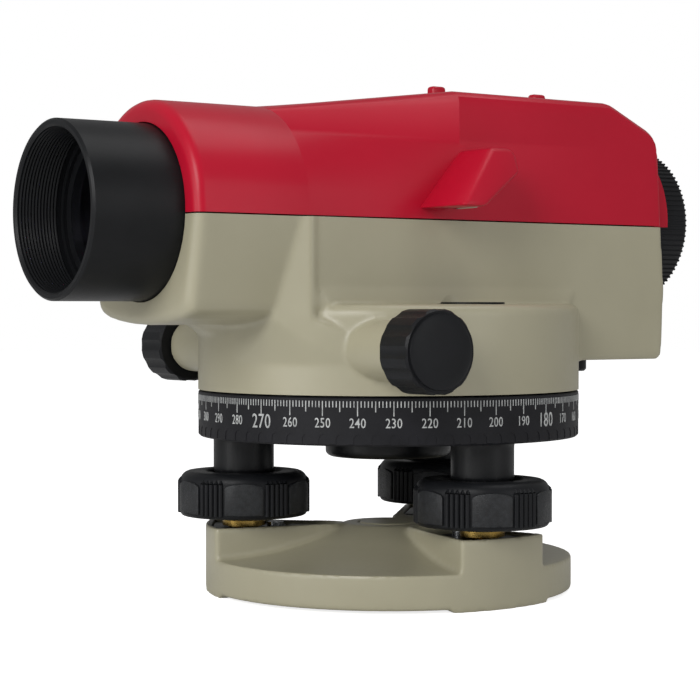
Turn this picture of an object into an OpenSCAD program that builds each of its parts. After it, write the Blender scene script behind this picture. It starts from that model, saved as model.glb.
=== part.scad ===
// Automatic level: a surveying telescope with a swinging compensator, on a
// levelling base with three foot screws.
// The origin is on the standing axis, in the plane of the base plate's underside.
// +X is the line of sight, +Y the side of the circular level, +Z up. Millimetres.

/* [Base plate] */
// Radius of the round base plate
base_r = 48; // [46:0.5:50]
// Height of the rim between the arms
rim_h = 9.4; // [8:0.2:11]
// Height of the three arms that carry the foot screws
arm_h = 17.6; // [17:0.2:18.4]
// Angle between an arm's wall and its centre line
arm_taper = 15.5; // [12:0.5:18]
// Minor radius of the 5/8 inch tripod thread
tripod_r = 6.85; // [6.7:0.05:6.95]

/* [Foot screws] */
// Distance of the foot screws from the standing axis
leg_r = 38.1; // [37.8:0.1:38.6]
// Direction of the first foot screw, counter-clockwise from +X
leg_turn = 92.2; // [0:0.1:120]
// Radius of a foot screw's knob
knob_r = 17.2; // [15:0.2:18]
// Height of a foot screw's knob
knob_h = 11.7; // [10:0.1:12]

/* [Horizontal circle] */
// Radius of the graduated ring
circle_r = 50; // [49.8:0.1:50.4]
// Underside of the graduated ring
circle_z = 40.6; // [40.4:0.1:40.8]
// Height of the graduated ring
circle_h = 11.7; // [11.4:0.1:11.8]

/* [Housing] */
// Radius of the round lower housing
skirt_r = 50; // [49.8:0.1:50.4]
// Height of the shoulder on top of the lower housing
shoulder_z = 74.7; // [74.5:0.1:75]
// Height of the seam between housing and cover
seam_z = 95.7; // [95.5:0.1:96]
// Half the width of the box behind the barrel
box_y = 28.7; // [28:0.1:29]
// Rear end of the housing, behind the standing axis
rear_x = 71; // [70:0.5:72]
// Front face of the barrel
barrel_x = 74; // [73:0.5:75]
// Wall thickness of housing and cover
wall = 2.6; // [2.2:0.1:3]

/* [Cover] */
// Height of the cover's flat top
cover_z = 128.6; // [127:0.2:130]
// Top of the two sighting bumps
sight_z = 133; // [131:0.5:134]

/* [Telescope] */
// Height of the line of sight
sight_axis_z = 96.9; // [96.7:0.1:97.1]
// Radius of the objective tube
tube_r = 21.55; // [21:0.05:22]
// Front end of the objective tube
tube_x = 97.7; // [92:0.1:102]
// Height of the eyepiece's axis
eye_z = 97.6; // [97.4:0.1:97.8]
// Radius of the eyepiece's focusing ring
eye_r = 21.2; // [20:0.1:21.6]
// Rear end of the eyepiece
eye_x = 89.3; // [88.8:0.1:91]
// Radius of the focusing knob
focus_r = 15.2; // [13:0.1:15.4]

/* [Tangent drive] */
// Distance of the tangent shaft in front of the standing axis
worm_x = 30; // [29.8:0.1:30.4]
// Height of the tangent shaft
worm_z = 63.6; // [63.4:0.1:63.8]
// Radius of the two tangent knobs
tangent_r = 10; // [8.5:0.1:10.4]
// Outer face of a tangent knob
tangent_y = 63.4; // [62:0.1:65]
// Number of teeth on the worm wheel
wheel_teeth = 90; // [60:1:120]

/* [Circular level] */
// Place of the level's centre along the line of sight
level_x = 1.8; // [0:0.1:4]
// Place of the level's centre beside the standing axis
level_y = 38.2; // [38:0.1:38.6]
// Radius of the level's cup
level_r = 7.9; // [7:0.1:8]

/* [Hidden] */
$fn = 96;
eps = 0.05;
run_gap = 0.06;        // radial play of a running fit
beige = "#9c967f";
red = "#ae1f34";
black = "#26282c";
steel = "#a9adb0";
brass = "#b59a55";
bronze = "#a8834a";
glass = "#a8c4cc";

// Base plate
hub_r = 11.5;          // flat top of the centre hub
hub_h = 17.4;
plug_r = 7.6;
nose_x = 17;           // centre of the round inner end of an arm
nose_r = 5.2;
arm_wall = 1.5;
ball_z = 13;           // centre of a foot screw's ball, and floor of the pockets
ball_r = 5.5;
clamp_h = 3.7;
clamp_x = 27;          // inner end of a clamp plate
clamp_screw_x = 29.8;
relief_h = 0.8;        // the underside stands on three pads and the centre
valley_run = base_r - hub_r;
valley_rise = hub_h - rim_h;
valley_r = (valley_run * valley_run + valley_rise * valley_rise) / (2 * valley_rise);

// Foot screws and tribrach
knob_z = 19.8;
spindle_r = 4.9;
sleeve_r = 7.9;
sleeve_z = 31;
bush_r = 6.8;
head_r = circle_r - 3;
head_z = 41;
head_top = 45;
tribrach_hub_r = 16.5;
tribrach_hub_z = 34.9;
journal_r = 9;
axis_bush_r = 14;
axis_bush_top = 69;

// Housing
skirt_z = circle_z + circle_h + 0.4;
floor_z = 72;
barrel_y = 27.5;
barrel_low_y = 23.2;
barrel_low_z = 73;
barrel_bottom_z = 69.4;
barrel_wall_x = 67;
flare_x = 50.2;
flare_back_x = 40.6;
rear_floor_z = 60;
arch_r = barrel_y - 0.2;
cover_gap = 0.15;
cover_low = seam_z + cover_gap;
bore_gap_r = 22.8;
spigot_r = 18;
boss_r = 7.3;
boss_y = 50.9;
post_x = 36;
post_y = 22;
post_r = 3.6;
hood_r = 24.5;
hood_x = 78;
hood_y = 46.2;

// Focusing drive
focus_x = 8;
focus_z = 90.6;
pinion_r = 3;
rack_y = 19;
carrier_x = 12;
carrier_r = 13;
barrel_r = 15.4;

// Compensator
swing_x = -24;
swing_z = 114;

// Check button under the rear of the housing
button_x = -62.6;
button_r = 5;

module at_leg(n) rotate(leg_turn + 120 * (n - 1)) translate([leg_r, 0, 0]) children();
module on_arms() for (i = [0:2]) rotate(leg_turn + 120 * i) children();
module along_x(x, z) translate([x, 0, z]) rotate([0, 90, 0]) children();
module along_y(x, y, z) translate([x, y, z]) rotate([-90, 0, 0]) children();
module side_outline(y0, y1) translate([0, y1, 0]) rotate([90, 0, 0])
    linear_extrude(y1 - y0) children();
module tube(r_out, r_in, h) difference() {
    cylinder(r = r_out, h = h);
    translate([0, 0, -1]) cylinder(r = r_in, h = h + 2);
}

function arm_wall_y(x, nose) = (x - nose_x) * tan(arm_taper) + nose / cos(arm_taper);

// ---- Base plate and foot clamps ----

// The walls cross the round nose a hair inside its tangents, so they meet it cleanly.
module arm_outline(inset, outer_r) {
    nose = nose_r - inset;
    wall = nose - 0.08;
    near_x = nose_x - wall * sin(arm_taper);
    near_y = wall * cos(arm_taper);
    far_x = base_r + 6;
    far_y = arm_wall_y(far_x, wall);
    intersection() {
        circle(r = outer_r);
        union() {
            translate([nose_x, 0]) circle(r = nose);
            polygon([[near_x, near_y], [far_x, far_y], [far_x, -far_y], [near_x, -near_y]]);
        }
    }
}

module above_valleys() difference() {
    square([base_r + 2, arm_h + 1]);
    difference() {
        square([base_r + 3, hub_h]);
        translate([base_r, rim_h + valley_r]) circle(r = valley_r, $fn = 360);
    }
}

module underside_relief() {
    pad_slope = tan(18.5);
    linear_extrude(relief_h) difference() {
        circle(r = base_r + 1);
        circle(r = 16);
        on_arms() polygon([[0, 0], [60, 60 * pad_slope], [60, -60 * pad_slope]]);
    }
}

module base_plate() color(beige) difference() {
    cylinder(r = base_r, h = arm_h);
    difference() {
        rotate_extrude() above_valleys();
        on_arms() translate([0, 0, 1]) linear_extrude(arm_h + 1) arm_outline(0, base_r + 4);
    }
    translate([0, 0, -eps]) underside_relief();
    translate([0, 0, -1]) cylinder(r = tripod_r, h = 14);
    translate([0, 0, hub_h - 2]) cylinder(r = plug_r, h = 3);
    on_arms() {
        translate([0, 0, arm_h - 1]) linear_extrude(3) arm_outline(arm_wall, base_r - arm_wall);
        translate([0, 0, ball_z]) linear_extrude(arm_h) intersection() {
            arm_outline(arm_wall + 0.2, base_r - arm_wall - 0.2);
            translate([clamp_x - 0.4, -20]) square([40, 40]);
        }
        translate([leg_r, 0, ball_z]) sphere(r = ball_r + 0.1);
        translate([leg_r, 0, ball_z - ball_r - 0.8]) cylinder(r = 1.6, h = 3);
        translate([clamp_screw_x, 0, ball_z - 5]) cylinder(r = 1.3, h = 6);
    }
}

module hub_plug() color(beige) translate([0, 0, hub_h - 2]) {
    cylinder(r = plug_r - eps, h = 1.8);
    translate([0, 0, 1.8]) cylinder(r1 = plug_r - eps, r2 = plug_r - 0.4, h = 0.4);
}

module foot_clamp(n) color(black) rotate(leg_turn + 120 * (n - 1)) difference() {
    translate([0, 0, ball_z]) linear_extrude(clamp_h) intersection() {
        arm_outline(arm_wall + 0.6, base_r - arm_wall - 0.6);
        translate([clamp_x, -20]) square([40, 40]);
    }
    translate([leg_r, 0, ball_z]) sphere(r = ball_r + 0.1);
    translate([clamp_screw_x, 0, ball_z - 1]) cylinder(r = 1.3, h = 6);
}

module clamp_screws() color(steel) on_arms() translate([clamp_screw_x, 0, 0]) {
    translate([0, 0, ball_z - 4.6]) cylinder(r = 1.25, h = 4.6 + clamp_h);
    translate([0, 0, ball_z + clamp_h]) difference() {
        cylinder(r = 2.2, h = 1.2);
        translate([-3, -0.3, 0.6]) cube([6, 0.6, 1]);
    }
}

// ---- Foot screws ----

module foot_spindle(n) color(brass) at_leg(n) {
    translate([0, 0, ball_z]) sphere(r = ball_r);
    translate([0, 0, ball_z + 2]) cylinder(r = 3.6, h = 8);
    translate([0, 0, ball_z + 4.2]) cylinder(r = 5.6, h = 1.4);
    translate([0, 0, knob_z]) cylinder(r = spindle_r, h = 26);
}

module knob_profile() {
    shoulder = 2.4;
    difference() {
        union() {
            square([knob_r - shoulder, knob_h]);
            translate([0, 1]) square([knob_r, knob_h - 1 - shoulder]);
            translate([knob_r - shoulder, knob_h - shoulder]) circle(r = shoulder);
            translate([knob_r - 1, 1]) circle(r = 1);
        }
        translate([-1, -1]) square([spindle_r + 1 + run_gap, knob_h + 2]);
        translate([-1, knob_h - 3]) square([sleeve_r + 1.9, 4]);
    }
}

module foot_knob(n) color(black) at_leg(n) rotate(n == 3 ? 60 : 0)
    translate([0, 0, knob_z]) difference() {
        rotate_extrude() knob_profile();
        for (pad = [0:5], groove = [-2:2]) rotate(30 + 60 * pad + 6 * groove)
            translate([knob_r + 0.4, 0, -1]) cylinder(r = 0.8, h = knob_h + 2, $fn = 24);
    }

// ---- Tribrach ----

module tribrach_head() color(black) difference() {
    union() {
        translate([0, 0, head_z]) cylinder(r = head_r, h = head_top - head_z);
        translate([0, 0, tribrach_hub_z + 1]) cylinder(r = tribrach_hub_r, h = 8);
        translate([0, 0, tribrach_hub_z]) cylinder(r1 = tribrach_hub_r - 1,
            r2 = tribrach_hub_r, h = 1);
        for (n = [1:3]) at_leg(n) translate([0, 0, sleeve_z])
            cylinder(r = sleeve_r, h = head_top - sleeve_z - 1);
    }
    translate([0, 0, tribrach_hub_z + 2]) cylinder(r = axis_bush_r, h = 12);
    for (n = [1:3]) at_leg(n) translate([0, 0, sleeve_z - 1]) cylinder(r = bush_r, h = 16);
}

module leg_bush(n) color(brass) at_leg(n) translate([0, 0, sleeve_z + 1])
    tube(bush_r - 0.02, spindle_r + run_gap, head_top - sleeve_z - 1);

module axis_bush() color(steel) {
    low = tribrach_hub_z + 2;
    difference() {
        union() {
            translate([0, 0, low]) cylinder(r = axis_bush_r - 0.02, h = axis_bush_top - low);
            translate([0, 0, head_top]) cylinder(r = axis_bush_r + 2, h = 3.6);
        }
        translate([0, 0, low - 1]) cylinder(r = journal_r + run_gap, h = 40);
    }
}

module clutch_nut() color(steel) translate([0, 0, axis_bush_top - 2]) difference() {
    cylinder(r = axis_bush_r + 4, h = 2, $fn = 6);
    translate([0, 0, -1]) cylinder(r = axis_bush_r, h = 4);
}

// ---- Horizontal circle and worm wheel ----

module horizontal_circle() color(black) difference() {
    union() {
        translate([0, 0, circle_z + 0.6]) cylinder(r = circle_r, h = circle_h - 0.6);
        translate([0, 0, circle_z]) cylinder(r1 = circle_r - 0.6, r2 = circle_r, h = 0.6);
    }
    translate([0, 0, circle_z - 1]) cylinder(r = head_r + 0.5, h = 10.2);
    translate([0, 0, circle_z + 10.6]) cylinder(r = head_r + 0.5, h = 4);
    translate([0, 0, circle_z - 1]) cylinder(r = axis_bush_r + run_gap, h = 20);
}

module worm_wheel() color(bronze) {
    tip_r = worm_x - 3.8;
    root_r = tip_r - 0.9;
    translate([0, 0, worm_z - 3]) difference() {
        linear_extrude(6) polygon([for (t = [0:wheel_teeth - 1], side = [0:3])
            let (r = side < 2 ? tip_r : root_r, a = 360 * (t + side / 4) / wheel_teeth)
            [r * cos(a), r * sin(a)]]);
        translate([0, 0, -1]) cylinder(r = axis_bush_r + run_gap, h = 8);
    }
}

// ---- Standing axis and housing ----

module standing_axis() color(steel) {
    translate([0, 0, tribrach_hub_z + 3]) cylinder(r = journal_r, h = 32.4);
    translate([0, 0, axis_bush_top + 1]) cylinder(r = 15, h = floor_z - axis_bush_top - 1);
}

module bottom_plate() color(black) translate([0, 0, skirt_z + 0.3]) difference() {
    cylinder(r = skirt_r - wall - 0.3, h = 2);
    translate([0, 0, -1]) cylinder(r = axis_bush_r + 4, h = 4);
    bottom_screw_places() translate([0, 0, -1]) cylinder(r = 1.4, h = 4);
}

module bottom_screw_places() for (i = [0:2]) rotate(10 + 120 * i)
    translate([skirt_r - 8, 0, 0]) children();

module bottom_screws() color(steel) translate([0, 0, skirt_z + 0.3]) bottom_screw_places() {
    cylinder(r = 1.35, h = 8);
    translate([0, 0, 2]) cylinder(r = 2.4, h = 1.2);
}

module skirt_profile() {
    round_r = 2.5;
    square([skirt_r - round_r, shoulder_z - skirt_z]);
    square([skirt_r, shoulder_z - skirt_z - round_r]);
    translate([skirt_r - round_r, shoulder_z - skirt_z - round_r]) circle(r = round_r);
}

module flare_outline() polygon([[0, box_y], [flare_back_x, box_y + 0.5], [flare_x, barrel_low_y],
    [flare_x, -barrel_low_y], [flare_back_x, -box_y - 0.5], [0, -box_y]]);

module slab(x0, x1, y, z) translate([x0, -y, z]) cube([x1 - x0, 2 * y, 0.2]);

module housing_outer() {
    translate([0, 0, skirt_z]) rotate_extrude() skirt_profile();
    side_outline(-box_y, box_y) polygon([[30, seam_z], [-rear_x, seam_z], [-rear_x - 1.2, 79],
        [-rear_x - 0.3, rear_floor_z + 2], [-rear_x + 1.7, rear_floor_z],
        [-32, rear_floor_z], [-32, 70], [30, 70]]);
    translate([0, 0, barrel_bottom_z + 1]) linear_extrude(seam_z - barrel_bottom_z - 1)
        flare_outline();
    hull() {
        slab(flare_back_x, barrel_x, barrel_y, seam_z - 0.2);
        slab(flare_back_x, barrel_x, barrel_low_y, barrel_low_z);
        slab(flare_back_x, barrel_x, 13, barrel_bottom_z);
    }
    hull() {
        translate([0, 0, barrel_bottom_z + 1]) linear_extrude(0.2) flare_outline();
        translate([0, 0, 58]) cylinder(r = skirt_r - 0.1, h = 0.2, $fn = 96);
    }
    along_y(worm_x, -boss_y, worm_z) cylinder(r = boss_r, h = 2 * boss_y);
}

module housing_cavity() {
    translate([0, 0, skirt_z - 1]) cylinder(r = skirt_r - wall, h = floor_z - skirt_z + 1);
    side_outline(-box_y + wall, box_y - wall) polygon([[flare_back_x, seam_z + 1],
        [-rear_x + wall, seam_z + 1], [-rear_x + wall, rear_floor_z + wall],
        [-skirt_r - wall, rear_floor_z + wall], [-skirt_r - wall, 75], [flare_back_x, 75]]);
    along_x(flare_back_x - 1, sight_axis_z) cylinder(r = 20, h = 60 - flare_back_x + 1);
}

module front_and_rear_bores() {
    along_x(barrel_wall_x, sight_axis_z) cylinder(r = bore_gap_r, h = 12);
    along_x(58, sight_axis_z) cylinder(r = spigot_r, h = 12);
    along_x(-rear_x - 10, eye_z) cylinder(r = 16, h = 14);
}

module posts(low, high) for (x = [-post_x, post_x], y = [-post_y, post_y])
    translate([x, y, low]) cylinder(r = post_r, h = high - low);

module screw_holes() for (x = [-post_x, post_x], y = [-post_y, post_y])
    translate([x, y, floor_z - 1]) cylinder(r = 1.55, h = 36);

module main_housing() color(beige) difference() {
    union() {
        difference() {
            housing_outer();
            housing_cavity();
        }
        posts(floor_z + 1, seam_z);
        bottom_screw_places() translate([0, 0, skirt_z + 3.6]) difference() {
            translate([0, 0, 1.2]) cylinder(r = 3, h = floor_z - skirt_z - 4);
            translate([0, 0, -1]) cylinder(r = 1.4, h = 6);
        }
        intersection() {
            translate([level_x, level_y, 62]) cylinder(r = level_r + 2, h = 12);
            translate([0, 0, 60]) cylinder(r = skirt_r - 1, h = 14);
        }
    }
    front_and_rear_bores();
    screw_holes();
    translate([level_x, level_y, 64]) cylinder(r = level_r + eps, h = 12);
    along_y(worm_x, -60, worm_z) cylinder(r = 5.2, h = 120);
    along_y(focus_x, -40, focus_z) cylinder(r = 4.4, h = 20);
    translate([button_x, 0, rear_floor_z - 1]) cylinder(r = 3, h = 5);
    translate([button_x, 0, rear_floor_z - 1]) cylinder(r = button_r + 0.3, h = 2.5);
}

// ---- Cover ----

module arch_slice(x0, x1, r) intersection() {
    along_x(x0, sight_axis_z) cylinder(r = r, h = x1 - x0, $fn = 64);
    translate([x0 - 1, -40, cover_low]) cube([x1 - x0 + 2, 80, 60]);
}

module rear_section(x0, x1, inset) {
    y = box_y - inset;
    z = cover_z - inset;
    translate([x0, 0, 0]) rotate([90, 0, 90]) linear_extrude(x1 - x0) polygon([[-y, cover_low],
        [-y + 0.9, z - 2.5], [-y + 3.4, z], [y - 3.4, z], [y - 0.9, z - 2.5], [y, cover_low]]);
}

module rear_outline(inset) polygon([[2, cover_low - inset], [2, cover_z - inset],
    [-53.7, cover_z - inset], [-67.9 + inset, 121.9 - inset / 2], [-70.2 + inset, 118],
    [-rear_x + inset, cover_low - inset]]);

module cover_body(inset) {
    arch_slice(flare_back_x, barrel_x, arch_r - inset);
    hull() {
        arch_slice(flare_back_x, flare_back_x + 0.2, arch_r - inset);
        rear_section(-0.2, 0, inset);
    }
    intersection() {
        rear_section(-rear_x - 2, 0, inset);
        side_outline(-40, 40) rear_outline(inset);
    }
}

module mirror_hood() difference() {
    side_outline(box_y - 3, hood_y) polygon([[10.8, 98.5], [-2.3, 113.5], [-8.4, 113.5],
        [-9.8, 112], [-9.8, 107.4], [3.6, 98.4]]);
    translate([0, hood_y, 98.4]) rotate([20, 0, 0]) translate([-30, 0, -5]) cube([60, 20, 40]);
}

module sights() for (x = [-18.7, -53.6]) translate([x, -2, cover_z - 1])
    cube([6, 4, sight_z - cover_z + 1]);

module top_cover() color(red) difference() {
    union() {
        difference() {
            cover_body(0);
            translate([0, 0, -1]) cover_body(wall);
        }
        arch_slice(60, barrel_x, arch_r);
        intersection() {
            along_x(-hood_x, eye_z) cylinder(r = hood_r, h = hood_x - rear_x + 2);
            translate([-hood_x, -40, cover_low]) cube([20, 80, 40]);
        }
        intersection() {
            posts(cover_low, 112);
            cover_body(1);
        }
        mirror_hood();
        sights();
    }
    front_and_rear_bores();
    along_x(-hood_x - 1, eye_z) cylinder(r = eye_r + 1.3, h = hood_x - rear_x + 0.4);
    translate([post_x, 0, 0]) for (y = [-post_y, post_y], x = [0, -2 * post_x])
        translate([x, y, cover_low - 1]) cylinder(r = 1.55, h = 11.2);
}

module cover_screws() color(steel) for (x = [-post_x, post_x], y = [-post_y, post_y])
    translate([x, y, 0]) {
        translate([0, 0, floor_z]) cylinder(r = 1.5, h = 33);
        translate([0, 0, floor_z - 2]) cylinder(r = 2.6, h = 2);
    }

module bubble_mirror() color(glass) side_outline(box_y + 2, 42) polygon(
    [[-8.52, 106.54], [2.6, 99.07], [2.16, 98.41], [-8.96, 105.88]]);

// ---- Circular level and index ----

module level_cup() color(steel) translate([level_x, level_y, 64.2]) difference() {
    cylinder(r = level_r, h = 11);
    translate([0, 0, 4]) cylinder(r = level_r - 1.3, h = 8);
}

module level_vial() color(glass) translate([level_x, level_y, 68.2])
    cylinder(r = level_r - 1.35, h = 6.7);

module circle_index() color(beige) translate([-skirt_r - 0.9, -1.5, skirt_z])
    difference() {
        cube([3, 3, 5]);
        translate([skirt_r + 0.9, 1.5, -1]) cylinder(r = skirt_r, h = 7, $fn = 360);
    }

// ---- Objective ----

module objective_tube() color(black) difference() {
    union() {
        along_x(barrel_wall_x, sight_axis_z) cylinder(r = tube_r, h = tube_x - barrel_wall_x);
        along_x(58, sight_axis_z) cylinder(r = spigot_r - 0.02, h = 10);
    }
    along_x(57, sight_axis_z) cylinder(r = barrel_r, h = 50);
    along_x(75, sight_axis_z) cylinder(r = 18.3, h = 30);
    along_x(85.5, sight_axis_z) cylinder(r = 19.6, h = 20);
}

module objective_lens() color(glass) along_x(75, sight_axis_z) intersection() {
    cylinder(r = 18.2, h = 7);
    translate([0, 0, -41]) sphere(r = 47.5, $fn = 180);
}

module objective_ring() color(steel) along_x(82, sight_axis_z) tube(18.25, 16, 2.6);

module telescope_barrel() color(black) difference() {
    along_x(2, sight_axis_z) tube(barrel_r - 0.02, carrier_r + run_gap, 62);
    translate([6, -20, sight_axis_z - 4]) cube([33, 12, 6]);
}

// ---- Focusing ----

module focus_carrier() color(brass) {
    along_x(carrier_x, sight_axis_z) tube(carrier_r, 10.5, 20);
    translate([14, -rack_y, 94.1]) cube([9, rack_y - 12, 2.8]);
    translate([-8, -rack_y - 2.5, 94.1]) cube([31, 3.5, 3]);
}

module focus_lens() color(glass) along_x(carrier_x + 8, sight_axis_z) cylinder(r = 10.5, h = 4);

module focus_pinion() color(steel) {
    along_y(focus_x, -rack_y - 2.5, focus_z) cylinder(r = pinion_r, h = 4, $fn = 12);
    along_y(focus_x, -box_y - 12, focus_z) cylinder(r = 2.5, h = box_y - rack_y + 10);
}

module focus_bush() color(brass) {
    along_y(focus_x, -box_y - 1.5, focus_z) tube(4.38, 2.5 + run_gap, 5.5);
    along_y(focus_x, -box_y - 1.5, focus_z) tube(7, 2.5 + run_gap, 1.5);
}

module focus_knob() color(black) {
    low_y = -box_y - 16;
    along_y(focus_x, low_y, focus_z) difference() {
        union() {
            cylinder(r1 = focus_r - 1.2, r2 = focus_r, h = 1.2);
            translate([0, 0, 1.2]) cylinder(r = focus_r, h = 13);
        }
        for (i = [0:35]) rotate(10 * i) translate([focus_r + 0.5, 0, -1])
            cylinder(r = 1, h = 20, $fn = 24);
        translate([0, 0, 4]) cylinder(r = 2.5, h = 20);
        translate([0, 0, 11]) cylinder(r = focus_r - 2.4, h = 8);
    }
}

// ---- Compensator ----

module compensator_frame() color(steel) {
    translate([-44, -15, 75]) cube([40, 30, 3]);
    for (y = [-15, 13]) translate([-34, y, 78]) cube([20, 2, 39]);
    translate([-34, -15, 117]) cube([20, 30, 2.5]);
}

module suspension_wires() color(steel) for (x = [-5, 5], y = [-6, 6])
    translate([swing_x + x, y, 108.4]) cylinder(r = 0.2, h = 8.6);

module compensator_pendulum() color(brass) translate([swing_x, 0, 0]) {
    translate([-7, -9, 105]) cube([14, 18, 3]);
    for (y = [-9, 7]) translate([-4, y, 84]) cube([8, 2, 21]);
    translate([-7, -9, 84]) cube([14, 18, 3]);
    translate([0, 0, 80.2]) cylinder(r = 3.6, h = 4);
}

module pendulum_prism() color(glass) side_outline(-7, 7) polygon(
    [[swing_x - 6, 91], [swing_x + 6, 91], [swing_x, 102]]);

module fixed_prisms() color(glass) for (x = [-12.5, -35.5]) side_outline(-7, 7) polygon(
    [[x - 3.6, 90], [x + 3.6, 90], [x + 3.6, 103], [x - 3.6, 103]]);

module damper_cup() color(steel) translate([swing_x, 0, 78]) difference() {
    cylinder(r = 5.6, h = 5);
    translate([0, 0, 1.4]) cylinder(r = 4.4, h = 5);
}

// ---- Reticle and eyepiece ----

module reticle_cell() color(brass) along_x(-62, eye_z) tube(11.95, 6.2, 4);

module reticle() color(glass) along_x(-60.6, eye_z) cylinder(r = 6.15, h = 1.2);

module eyepiece_mount() color(black) difference() {
    union() {
        along_x(-80, eye_z) cylinder(r = 15.98, h = 22);
        along_x(-rear_x + wall + 1, eye_z) cylinder(r = 18, h = 2);
    }
    along_x(-81, eye_z) cylinder(r = 12, h = 40);
}

module eyepiece_ring() color(black) difference() {
    union() {
        along_x(-eye_x, eye_z) cylinder(r1 = eye_r - 1.5, r2 = eye_r, h = 1.5);
        along_x(-eye_x + 1.5, eye_z) cylinder(r = eye_r, h = eye_x - 76.5);
    }
    along_x(-eye_x + 4, eye_z) cylinder(r = 16 + run_gap, h = 20);
    along_x(-eye_x - 1, eye_z) cylinder(r = 11, h = 10);
}

module eyepiece_cell() color(steel) along_x(-83.4, eye_z) difference() {
    cylinder(r = 12 - run_gap, h = 15);
    translate([0, 0, -1]) cylinder(r = 8, h = 20);
}

module eyepiece_lens() color(glass) along_x(-82.6, eye_z) cylinder(r = 8, h = 5);

// ---- Tangent drive ----

module tangent_shaft() color(steel) {
    along_y(worm_x, -tangent_y + 4, worm_z) cylinder(r = 2, h = 2 * tangent_y - 8);
    along_y(worm_x, -7, worm_z) cylinder(r = 3.4, h = 14);
}

module tangent_knob() color(black) along_y(worm_x, boss_y + 0.5, worm_z) {
    length = tangent_y - boss_y - 0.5;
    difference() {
        union() {
            cylinder(r = tangent_r, h = length - 2);
            translate([0, 0, length - 2]) cylinder(r1 = tangent_r, r2 = tangent_r - 1, h = 1);
            translate([0, 0, length - 2]) cylinder(r = tangent_r - 2.4, h = 2);
        }
        for (i = [0:11]) rotate(30 * i) translate([tangent_r + 1.8, 0, -1])
            cylinder(r = 2.3, h = 20, $fn = 32);
        translate([0, 0, -1]) cylinder(r = 2, h = length - 3);
    }
}

module tangent_knob_left() tangent_knob();
module tangent_knob_right() mirror([0, 1, 0]) tangent_knob();

module tangent_bush() color(brass) along_y(worm_x, 34, worm_z)
    tube(5.18, 2 + run_gap, boss_y - 34);

module tangent_bush_left() tangent_bush();
module tangent_bush_right() mirror([0, 1, 0]) tangent_bush();

// ---- Check button ----

module check_button() color(black) translate([button_x, 0, 0]) {
    translate([0, 0, 56.2]) cylinder(r1 = button_r - 0.6, r2 = button_r, h = 0.6);
    translate([0, 0, 56.8]) cylinder(r = button_r, h = 2.4);
    translate([0, 0, 59]) cylinder(r = 3 - run_gap, h = 8);
}

base_plate();
hub_plug();
foot_clamp(1);  // foot_clamp_1
foot_clamp(2);  // foot_clamp_2
foot_clamp(3);  // foot_clamp_3
clamp_screws();
foot_spindle(1);  // foot_spindle_1
foot_spindle(2);  // foot_spindle_2
foot_spindle(3);  // foot_spindle_3
foot_knob(1);  // foot_knob_1
foot_knob(2);  // foot_knob_2
foot_knob(3);  // foot_knob_3
tribrach_head();
leg_bush(1);  // leg_bush_1
leg_bush(2);  // leg_bush_2
leg_bush(3);  // leg_bush_3
axis_bush();
clutch_nut();
horizontal_circle();
worm_wheel();
standing_axis();
bottom_plate();
bottom_screws();
main_housing();
top_cover();
cover_screws();
bubble_mirror();
level_cup();
level_vial();
circle_index();
objective_tube();
objective_lens();
objective_ring();
telescope_barrel();
focus_carrier();
focus_lens();
focus_knob();
focus_pinion();
focus_bush();
compensator_frame();
suspension_wires();
compensator_pendulum();
pendulum_prism();
fixed_prisms();
damper_cup();
reticle_cell();
reticle();
eyepiece_mount();
eyepiece_ring();
eyepiece_cell();
eyepiece_lens();
tangent_shaft();
tangent_knob_left();
tangent_knob_right();
tangent_bush_left();
tangent_bush_right();
check_button();
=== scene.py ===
from math import asin, cos, degrees, pi, radians, sin
import bmesh
import bpy
from mathutils import Matrix, Vector


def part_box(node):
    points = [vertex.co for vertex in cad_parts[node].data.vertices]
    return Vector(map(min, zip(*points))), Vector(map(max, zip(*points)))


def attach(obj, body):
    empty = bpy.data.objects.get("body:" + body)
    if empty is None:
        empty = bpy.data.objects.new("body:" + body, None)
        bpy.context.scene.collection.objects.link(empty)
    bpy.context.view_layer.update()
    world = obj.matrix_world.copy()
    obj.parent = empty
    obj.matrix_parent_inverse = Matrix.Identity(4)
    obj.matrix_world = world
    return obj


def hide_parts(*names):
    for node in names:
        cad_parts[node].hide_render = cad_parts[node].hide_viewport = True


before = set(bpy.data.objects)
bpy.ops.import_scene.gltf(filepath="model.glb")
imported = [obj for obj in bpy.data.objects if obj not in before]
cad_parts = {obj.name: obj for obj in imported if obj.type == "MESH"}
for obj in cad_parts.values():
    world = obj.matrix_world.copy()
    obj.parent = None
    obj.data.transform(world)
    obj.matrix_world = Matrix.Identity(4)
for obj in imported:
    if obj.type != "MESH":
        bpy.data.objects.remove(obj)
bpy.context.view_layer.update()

mm = 0.001
scene = bpy.context.scene
print("frame loaded")


# camera: level with the telescope's underside, seen from the front left
camera = {"away": 521.07, "height": 73.2, "azimuth": 54.19, "lens": 101.64, "left": 1.104, "down": 1.151}

lens = bpy.data.cameras.new("camera")
lens.lens = camera["lens"]
lens.sensor_width = 36
lens.clip_start = 0.01
eye = bpy.data.objects.new("camera", lens)
scene.collection.objects.link(eye)
eye.location = (camera["away"] * mm * cos(radians(camera["azimuth"])),
                camera["away"] * mm * sin(radians(camera["azimuth"])), camera["height"] * mm)
eye.rotation_euler = (radians(90 - camera["down"]), 0, radians(camera["azimuth"] + 90 + camera["left"]))
scene.camera = eye


# small helpers
def toLinear(hexCode):
    parts = [int(hexCode[i:i + 2], 16) / 255 for i in (1, 3, 5)]
    return [c / 12.92 if c <= 0.04045 else ((c + 0.055) / 1.055) ** 2.4 for c in parts] + [1]


def addNode(tree, kind, values=None, links=None, **settings):
    node = tree.nodes.new(kind)
    for key, value in settings.items():
        setattr(node, key, value)
    for key, value in (values or {}).items():
        node.inputs[key].default_value = value
    for key, socket in (links or {}).items():
        tree.links.new(socket, node.inputs[key])
    return node


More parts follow.
